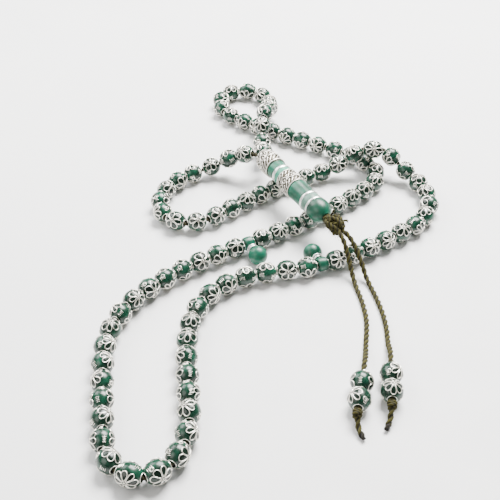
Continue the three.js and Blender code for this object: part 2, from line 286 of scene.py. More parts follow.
class Form:
    """Points, faces, material numbers, tones and UVs gathered for one mesh, in millimetres."""

    def __init__(self):
        self.points, self.faces, self.slots, self.tones, self.uvs = [], [], [], [], []

    def grid(self, rows, slot=0, tone=1.0, loop=False, along=None, capped=False):
        """A surface through closed rows of points. loop joins the last row to the first, and
        capped closes both ends with a fan. along is each row's first UV coordinate."""
        rows = np.asarray(rows, float)
        n, m = rows.shape[:2]
        base = len(self.points)
        self.points.extend(rows.reshape(-1, 3).tolist())
        tone = np.broadcast_to(tone, (n, m))
        self.tones.extend(tone.reshape(-1).tolist())
        along = np.arange(n + 1.0) if along is None else np.append(along, 2 * along[-1] - along[-2])
        for i in range(n if loop else n - 1):
            for j in range(m):
                k, q = (i + 1) % n, (j + 1) % m
                self.faces.append((base + i * m + j, base + i * m + q,
                                   base + k * m + q, base + k * m + j))
                a, b, u, v = along[i], along[i + 1], j / m, (j + 1) / m
                self.uvs.extend(((a, u), (a, v), (b, v), (b, u)))
                self.slots.append(slot)
        if capped:
            for i in (0, n - 1):
                self.points.append(rows[i].mean(axis=0).tolist())
                self.tones.append(float(tone[i].mean()))
                tip = len(self.points) - 1
                for j in range(m):
                    self.faces.append((base + i * m + j, base + i * m + (j + 1) % m, tip))
                    self.uvs.extend(((along[i], j / m), (along[i], (j + 1) / m), (along[i], 0.5)))
                    self.slots.append(slot)

    def mesh(self, name, materials):
        mesh = bpy.data.meshes.new(name)
        mesh.from_pydata((np.array(self.points) * MM).tolist(), [], self.faces)
        for material in materials:
            mesh.materials.append(material)
        mesh.polygons.foreach_set("material_index", self.slots)
        mesh.polygons.foreach_set("use_smooth", [True] * len(self.faces))
        uv = mesh.uv_layers.new(name="along_around")
        uv.data.foreach_set("uv", np.array(self.uvs, float).reshape(-1))
        tone = mesh.attributes.new("tone", "FLOAT", "POINT")
        tone.data.foreach_set("value", self.tones)
        shape = bmesh.new()
        shape.from_mesh(mesh)
        bmesh.ops.recalc_face_normals(shape, faces=shape.faces)
        shape.to_mesh(mesh)
        shape.free()
        return mesh


def place(name, mesh, matrix=None, body=None, stands_for=()):
    """Puts a mesh into the scene as a piece that moves with a body."""
    piece = bpy.data.objects.new(name, mesh)
    bpy.context.scene.collection.objects.link(piece)
    if matrix is not None:
        piece.matrix_world = matrix
    if body is not None:
        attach(piece, body)
    if stands_for:
        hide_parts(*stands_for)
    return piece


def wire(form, line, normals, half_width, height, slot=0, closed=True, sides=6):
    """A raised wire laid along a line on a surface, smaller at its ends unless it is closed."""
    shrink = np.ones(len(line))
    if closed:
        way = unit(np.roll(line, -1, axis=0) - np.roll(line, 1, axis=0))
    else:
        way = unit(np.gradient(line, axis=0))
        shrink[[0, -1]] = 0.6
    side = unit(np.cross(way, normals))
    up = np.cross(side, way)
    angle = turns(sides)
    rows = (
        line[:, None]
        + (half_width * shrink)[:, None, None] * np.cos(angle)[None, :, None] * side[:, None]
        + (height * shrink)[:, None, None] * np.sin(angle)[None, :, None] * up[:, None]
    )
    form.grid(rows, slot, tone=(np.sin(angle) + 1) / 2, loop=closed, capped=not closed)


def turned_rows(profile, sides):
    """Rows of points round the X axis, one for each (distance along, radius) pair."""
    profile, angle = np.asarray(profile, float), turns(sides)
    return np.stack([
        np.repeat(profile[:, :1], sides, axis=1),
        profile[:, 1:] * np.cos(angle),
        profile[:, 1:] * np.sin(angle),
    ], axis=2)


def lathe(form, profile, sides, slot=0, tone=1.0, loop=True):
    """A turned surface about the X axis."""
    form.grid(turned_rows(profile, sides), slot, tone=tone, loop=loop)


def circle(along, radius, count):
    """Points round the X axis, all at the same distance along it."""
    return turned_rows([(along, radius)], count)[0]


def rounded(points, radius):
    """The same outline with its inner corners rounded, in five points each."""
    points = [np.asarray(p, float) for p in points]
    result = [points[0]]
    for before, corner, after in zip(points, points[1:], points[2:]):
        back, ahead = before - corner, after - corner
        reach = min(radius, 0.45 * np.linalg.norm(back), 0.45 * np.linalg.norm(ahead))
        a, b = corner + reach * unit(back), corner + reach * unit(ahead)
        for t in np.linspace(0, 1, 5):
            result.append((1 - t) ** 2 * a + 2 * t * (1 - t) * corner + t**2 * b)
    result.append(points[-1])
    return result


def axis_matrix(middle, axis, roll=0.0):
    """A matrix that puts the X axis along axis at middle, turned by roll about it."""
    x = Vector(axis).normalized()
    side = Vector((0, 0, 1)).cross(x).normalized()
    basis = Matrix((x, side, x.cross(side))).transposed().to_4x4()
    return Matrix.Translation(Vector(middle)) @ basis @ Matrix.Rotation(roll, 4, "X")


# ---- materials

class Nodes:
    """A new material with its shader, and short ways to add and join nodes."""

    def __init__(self, name, **sockets):
        self.material = bpy.data.materials.new(name)
        self.material.use_nodes = True
        self.tree = self.material.node_tree
        self.shader = self.tree.nodes["Principled BSDF"]
        for socket, value in sockets.items():
            self.shader.inputs[socket.replace("_", " ")].default_value = value
        self.coordinates = self.tree.nodes.new("ShaderNodeTexCoord")

    def add(self, kind, inputs=None, **settings):
        node = self.tree.nodes.new(kind)
        for name, value in settings.items():
            setattr(node, name, value)
        for socket, value in (inputs or {}).items():
            if isinstance(value, bpy.types.NodeSocket):
                self.tree.links.new(value, node.inputs[socket])
            else:
                node.inputs[socket].default_value = value
        return node

    def noise(self, scale, detail=3.0, roughness=0.55, vector=None):
        vector = self.coordinates.outputs["Object"] if vector is None else vector
        return self.add("ShaderNodeTexNoise", {
            "Vector": vector, "Scale": scale, "Detail": detail, "Roughness": roughness,
        }).outputs["Fac"]

    def ramp(self, factor, *stops):
        node = self.add("ShaderNodeValToRGB", {"Fac": factor})
        elements = node.color_ramp.elements
        while len(elements) < len(stops):
            elements.new(0.5)
        for element, (spot, color) in zip(elements, stops):
            element.position = spot
            element.color = (*color, 1)
        return node.outputs["Color"]

    def mix(self, factor, a, b, blend="MIX"):
        node = self.add("ShaderNodeMix", data_type="RGBA", blend_type=blend)
        for socket, value in ((node.inputs[0], factor), (node.inputs[6], a), (node.inputs[7], b)):
            if isinstance(value, bpy.types.NodeSocket):
                self.tree.links.new(value, socket)
            else:
                socket.default_value = value
        return node.outputs[2]

    def between(self, factor, low, high):
        return self.add("ShaderNodeMapRange", {
            "Value": factor, "From Min": 0.3, "From Max": 0.7, "To Min": low, "To Max": high,
        }).outputs["Result"]

    def tone(self):
        return self.add("ShaderNodeAttribute", attribute_name="tone").outputs["Fac"]

    def color(self, socket):
        self.tree.links.new(socket, self.shader.inputs["Base Color"])

    def roughness(self, socket):
        self.tree.links.new(socket, self.shader.inputs["Roughness"])

    def bump(self, height, distance, strength=0.5):
        node = self.add("ShaderNodeBump", {
            "Height": height, "Distance": distance, "Strength": strength,
        })
        self.tree.links.new(node.outputs["Normal"], self.shader.inputs["Normal"])
        return self


def bead_green():
    """Glossy dark green enamel, clouded, with fine flecks, and darker where the tone is high."""
    n = Nodes("bead_green", IOR=1.45, Coat_Weight=0.15, Coat_Roughness=0.12)
    lot = n.add("ShaderNodeObjectInfo").outputs["Random"]
    shift = n.add("ShaderNodeVectorMath", {
        0: n.coordinates.outputs["Object"], 1: n.add("ShaderNodeCombineXYZ", {
            "X": lot, "Y": lot, "Z": lot}).outputs["Vector"],
    }, operation="ADD").outputs["Vector"]
    base = n.ramp(n.noise(260, 4, 0.6, shift), (0.3, (0.0007, 0.012, 0.0057)),
                  (0.52, (0.0020, 0.032, 0.0165)), (0.74, (0.006, 0.085, 0.045)))
    flecks = n.ramp(n.noise(1900, 2, 0.5, shift), (0.62, (0, 0, 0)), (0.72, (0.4, 0.4, 0.4)))
    enamel = n.mix(flecks, base, (0.013, 0.12, 0.065, 1))
    n.color(n.mix(n.ramp(n.tone(), (0.1, (0, 0, 0)), (0.9, (0.8, 0.8, 0.8))), enamel,
                  (0.0005, 0.0045, 0.0020, 1)))
    n.roughness(n.between(n.noise(900, 3, 0.6, shift), 0.2, 0.38))
    return n.bump(n.noise(1400, 3), 0.00003, 0.35).material


def silver(name, bright, dark, rough, edge=(0.18, 0.6), dents=0.4):
    """Bright worked silver, darker down in its recesses and a little tarnished in patches."""
    n = Nodes(name, Metallic=1.0)
    tarnish = n.noise(420, 4, 0.65)
    worked = n.mix(n.ramp(tarnish, (0.4, (0, 0, 0)), (0.75, (0.55, 0.55, 0.55))),
                   (*bright, 1), tuple(0.62 * c for c in bright) + (1,))
    crown = n.ramp(n.tone(), (edge[0], (0, 0, 0)), (edge[1], (1, 1, 1)))
    n.color(n.mix(crown, (*dark, 1), worked))
    n.roughness(n.between(n.noise(1500, 3, 0.6), rough, rough + 0.16))
    return n.bump(n.noise(2600, 2), 0.00002, dents).material


def hole_rim():
    """Darkened metal inside and round a bead's hole."""
    n = Nodes("hole_rim", Metallic=0.6)
    n.color(n.ramp(n.noise(700, 4), (0.35, (0.008, 0.012, 0.010)), (0.7, (0.045, 0.05, 0.04))))
    n.roughness(n.between(n.noise(1100, 3), 0.35, 0.6))
    return n.bump(n.noise(1800, 3), 0.00004, 0.5).material


def jade(name, dark, middle, light):
    """Polished stone-like green with soft veins and fine scratches."""
    n = Nodes(name, IOR=1.48, Coat_Weight=0.12, Coat_Roughness=0.3, Subsurface_Weight=0.2,
              Subsurface_Scale=0.0015)
    n.shader.inputs["Subsurface Radius"].default_value = (0.4, 1.0, 0.7)
    base = n.ramp(n.noise(120, 5, 0.6), (0.28, dark), (0.5, middle), (0.72, light))
    veins = n.ramp(n.noise(384, 6, 0.7), (0.60, (0, 0, 0)), (0.66, (0.28, 0.28, 0.28)),
                   (0.72, (0, 0, 0)))
    n.color(n.mix(veins, base, (*light, 1)))
    n.roughness(n.between(n.noise(1300, 3, 0.6), 0.3, 0.46))
    return n.bump(n.noise(900, 3), 0.00003, 0.25).material


def cord_olive(name, dark, light):
    """Twisted yarn: fine fibres along the plies, soft and matt, with painted shade darkening the
    creases between the plies.
    """
    n = Nodes(name, Sheen_Weight=0.05, Sheen_Roughness=0.5, IOR=1.35)
    uv = n.coordinates.outputs["UV"]
    strands = n.noise(1.0, 4, 0.6, n.add("ShaderNodeMapping", {
        "Vector": uv, "Scale": (1.6, 34, 1), "Rotation": (0, 0, 0.12)}).outputs["Vector"])
    patches = n.noise(1.0, 3, 0.5, n.add("ShaderNodeMapping", {
        "Vector": uv, "Scale": (0.35, 3, 1)}).outputs["Vector"])
    yarn = n.ramp(strands, (0.3, dark), (0.62, light))
    worn = n.mix(n.ramp(patches, (0.4, (0, 0, 0)), (0.7, (0.6, 0.6, 0.6))), yarn,
                 tuple(1.35 * c for c in light) + (1,))
    # Painted shade: where the tone is low, down in the creases between the plies, the yarn is
    # darkened.
    painted_crease_shade = n.ramp(n.tone(), (0.65, (0.10, 0.085, 0.04)), (0.99, (1, 1, 1)))
    n.color(n.mix(1.0, worn, painted_crease_shade, "MULTIPLY"))
    n.roughness(n.between(strands, 0.7, 0.95))
    return n.bump(strands, 0.00012, 0.8).material


GREEN = bead_green()
WIRE = silver("bead_silver", (0.98, 0.95, 0.86), (0.04, 0.038, 0.028), 0.28, (0.22, 0.75))
FILIGREE = silver("leader_silver", (0.93, 0.89, 0.81), (0.075, 0.066, 0.050), 0.34, (0.25, 0.9))
PLAIN_SILVER = silver("plain_silver", (0.93, 0.93, 0.91), (0.5, 0.5, 0.48), 0.26, dents=0.08)
RIM = hole_rim()
JADE = jade("jade", (0.0, 0.030, 0.015), (0.0, 0.075, 0.040), (0.003, 0.165, 0.096))
PALE_JADE = jade("pale_jade", (0.004, 0.14, 0.08), (0.02, 0.24, 0.15), (0.10, 0.42, 0.29))
GREY_JADE = jade("grey_jade", (0.06, 0.15, 0.11), (0.13, 0.25, 0.20), (0.34, 0.48, 0.42))
CORD = cord_olive("olive_cord", (0.006, 0.0048, 0.0002), (0.054, 0.048, 0.0035))
INNER_CORD = cord_olive("inner_cord", (0.010, 0.009, 0.004), (0.045, 0.040, 0.016))
CORD_TIP = cord_olive("cord_tip", (0.003, 0.0025, 0.001), (0.014, 0.011, 0.006))


# ---- cords

PLY_SIZE = 0.70
PLY_OFFSET = 0.35
FIBRE_POINTS = 5
FIBRE_THICKNESS = 0.07
LOWEST_FIBRE = 0.08


def twisted(form, line, along, radius, pitch, sides, slot=0, taper=None):
    """Two plies wound round each other along a line, each with shallow strands."""
    across, up = frames_along(line)
    sizes = np.ones(len(line)) if taper is None else taper
    around = turns(sides)
    for ply in (0, math.pi):
        turn = 2 * math.pi * along / pitch + ply
        middle = line + fan(turn, across, up) * (PLY_OFFSET * radius * sizes)[:, None]
        spin = around[None, :] + turn[:, None]
        strand = 1 + 0.05 * np.cos(3 * around[None, :] - 2.2 * along[:, None])
        size = (PLY_SIZE * radius * sizes)[:, None] * strand
        rows = middle[:, None] + size[..., None] * fan(spin, across[:, None], up[:, None])
        # The tone is each point's reach from the cord's middle over its radius. The cord materials
        # paint shade into the creases between the plies, where it is low.
        reach = np.linalg.norm(rows - line[:, None], axis=2) / (radius * sizes[:, None])
        form.grid(rows, slot, tone=np.clip(reach, 0, 1), along=along, capped=True)


def fibres(form, line, count, radius, reach, rng):
    """Loose fibres that stand off a cord."""
    across, up = frames_along(line)
    way = unit(np.gradient(line, axis=0))
    steps = np.linspace(0, 1, FIBRE_POINTS)[:, None]
    thick = FIBRE_THICKNESS * (1 - 0.6 * steps[:, 0])
    for _ in range(count):
        i = rng.randrange(1, len(line) - 1)
        angle = rng.uniform(0, 2 * math.pi)
        out = math.cos(angle) * across[i] + math.sin(angle) * up[i]
        lean = rng.uniform(-1.2, 1.2)
        side = np.cross(way[i], out)
        start = line[i] + out * radius * 0.8
        length = rng.uniform(0.4, 1.0) * reach
        curl = rng.uniform(-0.6, 0.6)
        points = start + length * steps * (out * 0.75 + way[i] * lean) + (
            side * curl * length * steps**2)
        points[:, 2] = np.maximum(points[:, 2], LOWEST_FIBRE)
        a, b = frames_along(points)
        rows = points[:, None] + thick[:, None, None] * fan(turns(3), a[:, None], b[:, None])
        form.grid(rows, along=np.linspace(0, length, FIBRE_POINTS), capped=True)


def on_leader(along, aside=0.0, up=0.0):
    return LEADER_START + along * LEADER_WAY + aside * LEADER_SIDE + np.array((0, 0, up))


frame_shift = Matrix.Translation(Vector(to_frame((0, 0, 0))))


# ---- beads

BODY_HALF_LENGTH = 3.95
BODY_HALF_WIDTH = 3.7
BODY_RINGS = 29
BODY_SIDES = 48
HOLE_RADIUS = 1.2
RIM_DEPTH = 0.5
WIRE_LIFT = 0.04
WIRE_SLOT, RIM_SLOT = 1, 2

# Angles on the bead, in radians, as seen from its middle
GROUND_REACH = 1.12
GROUND_BLEND = 0.3
PETAL_START = 0.13
HATCH_ALONG = 0.62
HATCH_ASIDE = 0.16
HATCH_SPACING = 0.135
RING_REACH = 0.52
RING_ASIDE = 0.33
RING_SIZE = 0.16

PETALS = (7, 6, 7, 7, 8, 6, 7, 8)
PETAL_POINTS = 18
HATCH_STROKES = 4
HATCH_POINTS = 6
RING_CHANCE = 0.6
RING_POINTS = 12
END_RING_ALONG, END_RING_RADIUS = 0.985, 0.42
END_RING_POINTS = 28
BALL_SIZE, BALL_HEIGHT = 0.34, 0.30
BALL_RISES = np.arange(5) / 4 * math.pi / 2 * 0.96


def on_bead(directions, lift):
    """Points on a bead's body in given directions, and the directions straight out of it."""
    d = unit(directions)
    halves = np.array((BODY_HALF_LENGTH, BODY_HALF_WIDTH, BODY_HALF_WIDTH))
    surface = d / np.linalg.norm(d / halves, axis=-1, keepdims=True)
    normal = unit(surface / halves**2)
    return surface + normal * lift, normal


def around_point(side_angle, reach, angle):
    """Directions at a given angular reach and angle from the bead's side at side_angle."""
    middle = np.array((0, math.cos(side_angle), math.sin(side_angle)))
    first = np.array((1.0, 0, 0))
    second = np.cross(middle, first)
    reach, angle = np.asarray(reach)[..., None], np.asarray(angle)[..., None]
    return np.cos(reach) * middle + np.sin(reach) * (np.cos(angle) * first + np.sin(angle) * second)


def petal(form, side_angle, angle, far, half_width, rng):
    """A teardrop loop of wire that points away from the flower's middle."""
    t = turns(PETAL_POINTS)
    swell = (1 - np.cos(t)) / 2
    reach = PETAL_START + (far - PETAL_START) * swell
    across = half_width * np.sin(t) * swell**0.6
    turn = angle + across / np.sin(reach) + 0.04 * math.sin(3 * angle)
    line, normal = on_bead(around_point(side_angle, reach, turn), WIRE_LIFT)
    thick = rng.uniform(0.15, 0.165)
    thick = np.interp(reach, [PETAL_START, 0.5], [0.45, 1.0]) * thick
    wire(form, line, normal, thick, 0.19, WIRE_SLOT)


def small_ring(form, side_angle, angle):
    middle = around_point(side_angle, RING_REACH, angle)
    first = unit(np.cross(middle, (1, 0.2, 0.1)))
    rim = fan(turns(RING_POINTS), first, np.cross(middle, first))
    line, normal = on_bead(middle + RING_SIZE * rim, WIRE_LIFT)
    wire(form, line, normal, 0.18, 0.2, WIRE_SLOT)


def hatched_patch(form, side_angle, along, across, rng):
    """Short parallel wires side by side, between two longer ones."""
    half = rng.uniform(0.15, 0.18)
    for k in range(HATCH_STROKES):
        x = along + (k - (HATCH_STROKES - 1) / 2) * HATCH_SPACING
        longer = 1.25 if k in (0, HATCH_STROKES - 1) else 1.0
        t = np.linspace(-1, 1, HATCH_POINTS) * half * longer + across
        directions = np.stack([
            np.full(HATCH_POINTS, math.sin(x)),
            math.cos(x) * np.cos(side_angle + t),
            math.cos(x) * np.sin(side_angle + t),
        ], axis=1)
        line, normal = on_bead(directions, WIRE_LIFT)
        wire(form, line, normal, 0.105, 0.2, WIRE_SLOT, closed=False)


def melted_ball(form, middle, normal, first, size, height, sides, rises, slot=0):
    """A small melted ball of silver: a low dome, with one ring of points for each rise."""
    rim = fan(turns(sides), first, np.cross(normal, first))
    rows = [
        middle + normal * (height * math.sin(rise)) + size * math.cos(rise) * rim
        for rise in rises
    ]
    form.grid(rows, slot, tone=(0.3 + 0.7 * np.sin(rises))[:, None], capped=True)


def bead_body(form, flower_middles):
    """A round bead's skin, darkened where its flowers are, with both ends and the bore."""
    widest = math.asin(BEAD_LENGTH / 2 / BODY_HALF_LENGTH)
    reach = np.linspace(-widest, widest, BODY_RINGS)
    profile = np.stack([BODY_HALF_LENGTH * np.sin(reach), BODY_HALF_WIDTH * np.cos(reach)], axis=1)
    rows = turned_rows(profile, BODY_SIDES)
    away = [
        np.arccos(np.clip(unit(rows) @ np.array((0, math.cos(m), math.sin(m))), -1, 1))
        for m in flower_middles
    ]
    form.grid(rows, tone=np.clip((GROUND_REACH - np.min(away, axis=0)) / GROUND_BLEND, 0, 1))
    end_x, end_r = rows[-1, 0, 0], BODY_HALF_WIDTH * math.cos(widest)
    deep_x, deep_r = end_x - RIM_DEPTH, HOLE_RADIUS - 0.05
    for sign in (-1, 1):
        lathe(form, [(sign * end_x, end_r), (sign * (end_x + 0.05), end_r - 0.12),
                     (sign * (end_x - 0.02), HOLE_RADIUS + 0.02), (sign * deep_x, deep_r)],
              BODY_SIDES, RIM_SLOT, loop=False)
    lathe(form, [(-deep_x, deep_r), (deep_x, deep_r)], BODY_SIDES, RIM_SLOT, loop=False)


def patterned_bead(variant):
    """A bead with two flowers on opposite sides, and hatched patches and rings between them."""
    rng = random.Random(100 + variant)
    form = Form()
    middles = [flower * math.pi + rng.uniform(-0.1, 0.1) for flower in range(2)]
    bead_body(form, middles)
    share = 2 * math.pi / PETALS[variant]
    for middle in middles:
        offset = rng.uniform(0, share)
        for k in range(PETALS[variant]):
            wide = (k + variant) % 3 != 0
            petal(form, middle, offset + k * share, rng.uniform(0.93, 1.03),
                  share * (0.40 if wide else 0.31), rng)
        top, normal = on_bead(around_point(middle, 0.0, 0.0), 0.0)
        melted_ball(form, top, normal, unit(np.cross(normal, (0.2, 1, 0.3))),
                    BALL_SIZE, BALL_HEIGHT, 10, BALL_RISES, WIRE_SLOT)
    for band in range(2):
        middle = (band + 0.5) * math.pi + rng.uniform(-0.08, 0.08)
        lean = rng.choice((-1, 1))
        for end in (-1, 1):
            hatched_patch(form, middle, end * HATCH_ALONG, end * lean * HATCH_ASIDE, rng)
        for side, angle in ((1, 0.0), (-1, math.pi)):
            if rng.random() < RING_CHANCE:
                small_ring(form, middle + side * lean * RING_ASIDE, angle)
    for end in (-1, 1):
        ring = circle(end * END_RING_ALONG, END_RING_RADIUS, END_RING_POINTS)
        line, normal = on_bead(ring, 0.0)
        wire(form, line, normal, 0.12, 0.14, WIRE_SLOT)
    return form.mesh(f"patterned_bead_{variant}", [GREEN, WIRE, RIM])


bead_meshes = [patterned_bead(variant) for variant in range(len(PETALS))]
body_of = {
    node: body
    for body, nodes in frame["record"]["behaviour"]["bodies"].items()
    for node in nodes
}


def place_bead(name, before, after, node, stretch=0.0):
    """Puts a bead, turned at random, between two places on the string. stretch lengthens it by
    that share of what the places are further apart than one bead pitch."""
    middle = to_frame((np.asarray(before) + np.asarray(after)) / 2)
    axis = np.asarray(after) - np.asarray(before)
    if draw.random() < 0.5:
        axis = -axis
    longer = 1 + stretch * max(np.linalg.norm(axis) - BEAD_PITCH, 0) / BEAD_PITCH
    matrix = axis_matrix(middle, axis, draw.uniform(0, 2 * math.pi))
    matrix = matrix @ Matrix.Diagonal((longer, 1, 1, 1))
    return place(name, draw.choice(bead_meshes), matrix, body_of[node], [node])


for node in sorted(n for n in body_of if n.startswith(("bead_", "beads_"))):
    words = node.split("_")
    letter = words[1][0]
    first = int(words[1][1:])
    last = int(words[2]) if len(words) > 2 else first
    for bead in range(first, last + 1):
        ends = joints[letter][bead - 1], joints[letter][bead]
        at_fold = bead in FOLDS[letter] or bead - 1 in FOLDS[letter]
        place_bead(f"patterned_bead_{letter}{bead:02d}", *ends, node, 0.0 if at_fold else 0.6)


# ---- the cord inside the beads

STRING_TWIST_PITCH = 3.6
STRING_END_RADIUS = 0.8 * MAIN_CORD_RADIUS
STRING_IN_LEADER = -0.6, 46.5
STRETCH_BODIES = {
    "a": ["middle_strands", "left_loop", "middle_strands", "right_loop", "middle_strands"],
    "b": ["middle_strands", "lower_loop_near", "lower_loop_middle", "lower_loop_far",
          "lower_loop_middle", "lower_loop_near", "middle_strands"],
    "c": ["middle_strands", "top_loop_near", "top_loop_far", "top_loop_near", "middle_strands"],
}


def string_piece(name, points, body):
    """A stretch of the string that moves with one body, with a round end inside the beads."""
    form = Form()
    line, along = resample(points, 0.6, smooth=False)
    twisted(form, line, along, MAIN_CORD_RADIUS, STRING_TWIST_PITCH, 8)
    turn = turns(10)
    for index in (0, -1):
        end = np.asarray(points[index], float)
        rows = []
        for step in range(1, 6):
            rise = math.pi * step / 6
            rows.append(end + np.stack([
                STRING_END_RADIUS * math.sin(rise) * np.cos(turn),
                STRING_END_RADIUS * math.sin(rise) * np.sin(turn),
                np.full(10, STRING_END_RADIUS * math.cos(rise)),
            ], axis=1))
        form.grid(rows, capped=True)
    place(name, form.mesh(name, [INNER_CORD]), frame_shift, body, ["main_cord"])


string_start, string_end = (on_leader(STRING_IN_LEADER[0], s * CORD_SPACING) for s in (-1, 1))
section_ends = {"a": joints["b"][0], "b": joints["c"][0], "c": string_end}
for letter, bodies in STRETCH_BODIES.items():
    cuts = [0, *FOLDS[letter], BEADS_PER_SECTION]
    for first, last, body in zip(cuts, cuts[1:], bodies):
        points = list(joints[letter][first:last + 1])
        if (letter, first) == ("a", 0):
            points.insert(0, string_start)
        if last == BEADS_PER_SECTION:
            points.append(section_ends[letter])
        string_piece(f"string_{letter}{first:02d}_{last:02d}", points, body)
for side, sign in (("first", -1), ("last", 1)):
    points = [on_leader(along, sign * CORD_SPACING) for along in STRING_IN_LEADER]
    string_piece(f"string_in_leader_{side}", points, "imame")


# ---- dividers

BARREL_HALF = 1.95
BARREL_OUTLINE = [
    (-BARREL_HALF + 0.2, 1.3), (-BARREL_HALF, 2.0), (-BARREL_HALF + 0.35, 2.5), (0, 2.68),
    (BARREL_HALF - 0.35, 2.5), (BARREL_HALF, 2.0), (BARREL_HALF - 0.2, 1.3),
]
BALL_RADIUS = 3.6
BALL_DISTANCE = 7.8
NECK_RADIUS = 1.6
NECK_PROFILE = [(2.45, 0.02), (2.45, 1.55), (4.3, NECK_RADIUS)]
COLLAR_RINGS = ((3.0, 1.75, 0.28), (3.55, 1.65, 0.2), (4.15, 1.95, 0.3))
COLLAR_POINTS = 32


def divider(number, before, after):
    """A barrel on the string, and a ball on a short neck that lies on the surface beside it."""
    middle = (before + after) / 2
    axis = unit(after - before)
    body = f"divider_{number}"
    barrel = Form()
    lathe(barrel, rounded(BARREL_OUTLINE, 0.3), 48)
    place(f"divider_{number}_turned_barrel", barrel.mesh(f"barrel_{number}", [JADE]),
          axis_matrix(to_frame(middle), axis), body, [f"divider_{number}_barrel"])

    drop = middle[2] - BALL_RADIUS
    outward = unit((-axis[1], axis[0], 0)) * -math.sqrt(BALL_DISTANCE**2 - drop**2)
    outward[2] = -drop
    outward = unit(outward)
    first_angle = math.asin(NECK_RADIUS / BALL_RADIUS)
    profile = NECK_PROFILE + [
        (BALL_DISTANCE - BALL_RADIUS * math.cos(t), BALL_RADIUS * math.sin(t))
        for t in np.linspace(first_angle + 0.06, math.pi - 0.03, 26)
    ]
    ball = Form()
    lathe(ball, profile, 56, loop=False)
    for along, radius, thick in COLLAR_RINGS:
        wire(ball, circle(along, radius, COLLAR_POINTS), circle(0.0, 1.0, COLLAR_POINTS),
             thick, thick, 1, sides=8)
    place(f"divider_{number}_polished_ball", ball.mesh(f"ball_{number}", [JADE, PLAIN_SILVER]),
          axis_matrix(to_frame(middle), outward), body, [f"divider_{number}_ball"])


divider(1, joints["b"][-1], joints["c"][0])
divider(2, joints["a"][-1], joints["b"][0])


# ---- leader

LEADER_MATRIX = axis_matrix(to_frame(LEADER_START), LEADER_WAY)
LEADER_BORE = 2.2
LEADER_SIDES = 72
SLOPE_STEP = 0.05
RELIEF_LIFT = -0.15
DOT_LIFT = -0.2
DOT_RISES = np.arange(4) / 3 * math.pi / 2 * 0.95


class Turned:
    """A piece of the leader: its surface of revolution, and relief laid on it."""

    def __init__(self, outline, start):
        self.outline = np.asarray(outline, float)
        self.start = start
        self.form = Form()

    def body(self, corner=0.25, inset=0.0, bore=LEADER_BORE, tone=1.0):
        """The turned body, with its bore. inset leaves room for relief on the outline."""
        first, last = self.outline[0][0] - GAP / 2, self.outline[-1][0] + GAP / 2
        outline = [(first, bore)]
        outline += [(x, r - inset) for x, r in self.outline]
        outline[1] = (first, outline[1][1])
        outline[-1] = (last, outline[-1][1])
        outline.append((last, bore))
        profile = np.array(rounded(outline, corner)) + (self.start, 0)
        lathe(self.form, profile, LEADER_SIDES, tone=tone)

    def at(self, along, turn, lift):
        """Points on the outer surface, and the directions straight out of it."""
        along, turn = np.broadcast_arrays(np.asarray(along, float), np.asarray(turn, float))
        radius = np.interp(along, self.outline[:, 0], self.outline[:, 1])
        slope = (np.interp(along + SLOPE_STEP, self.outline[:, 0], self.outline[:, 1])
                 - np.interp(along - SLOPE_STEP, self.outline[:, 0], self.outline[:, 1]))
        out = np.stack([np.zeros_like(turn), np.cos(turn), np.sin(turn)], axis=-1)
        point = out * radius[..., None]
        point[..., 0] = along + self.start
        normal = out.copy()
        normal[..., 0] = -slope / (2 * SLOPE_STEP)
        normal = unit(normal)
        return point + normal * lift, normal

    def ring(self, along, thick, lift=RELIEF_LIFT):
        """A wire round the piece."""
        line, normal = self.at(along, turns(64), lift)
        wire(self.form, line, normal, thick, thick, sides=8)

    def loops(self, middle, half_length, count, thick, flip=1, offset=0.0):
        """A row of teardrop loops round the piece."""
        share = 2 * math.pi / count
        t = turns(20)
        swell = (1 - np.cos(t)) / 2
        for k in range(count):
            along = middle + flip * half_length * (2 * swell - 1)
            turn = offset + k * share + 0.46 * share * np.sin(t) * swell**0.5
            line, normal = self.at(along, turn, RELIEF_LIFT)
            wire(self.form, line, normal, thick, thick + 0.03)

    def strokes(self, low, high, count, lean, thick, sway=0.0, offset=0.0):
        """Slanting wires side by side round the piece."""
        t = np.linspace(0, 1, 9)
        for k in range(count):
            turn = offset + 2 * math.pi * k / count + lean * (t - 0.5)
            turn += sway * np.sin(2 * np.pi * t)
            line, normal = self.at(low + (high - low) * t, turn, RELIEF_LIFT)
            wire(self.form, line, normal, thick, thick + 0.03, closed=False)

    def dots(self, along, count, size, offset=0.0):
        """A row of melted balls round the piece."""
        for k in range(count):
            middle, normal = self.at(along, offset + 2 * math.pi * k / count, DOT_LIFT)
            first = unit(np.cross(normal, (1, 0, 0)))
            melted_ball(self.form, middle, normal, first, size, size, 8, DOT_RISES)


def cap_relief(cap):
    cap.ring(0.35, 0.26, lift=-0.1)
    cap.loops(2.0, 1.05, 11, 0.2, flip=-1)
    cap.ring(3.35, 0.18)
    cap.loops(5.0, 1.4, 8, 0.24)
    cap.dots(5.6, 8, 0.45)
    cap.strokes(3.7, 6.3, 8, 0.3, 0.2, sway=0.1, offset=math.pi / 8)
    cap.ring(6.65, 0.18)
    cap.strokes(6.95, 9.7, 17, 0.55, 0.26)
    cap.ring(10.3, 0.38, lift=-0.12)


def sleeve_relief(sleeve):
    sleeve.ring(0.4, 0.3, lift=-0.1)
    sleeve.strokes(0.85, 2.5, 17, 0.35, 0.25)
    sleeve.loops(4.3, 1.35, 8, 0.24, offset=0.1)
    sleeve.dots(4.9, 8, 0.45, offset=0.1)
    sleeve.strokes(3.0, 5.6, 8, 0.3, 0.2, sway=0.1, offset=0.1 + math.pi / 8)
    sleeve.strokes(5.95, 8.0, 17, 0.4, 0.25)
    sleeve.ring(8.4, 0.3, lift=-0.1)


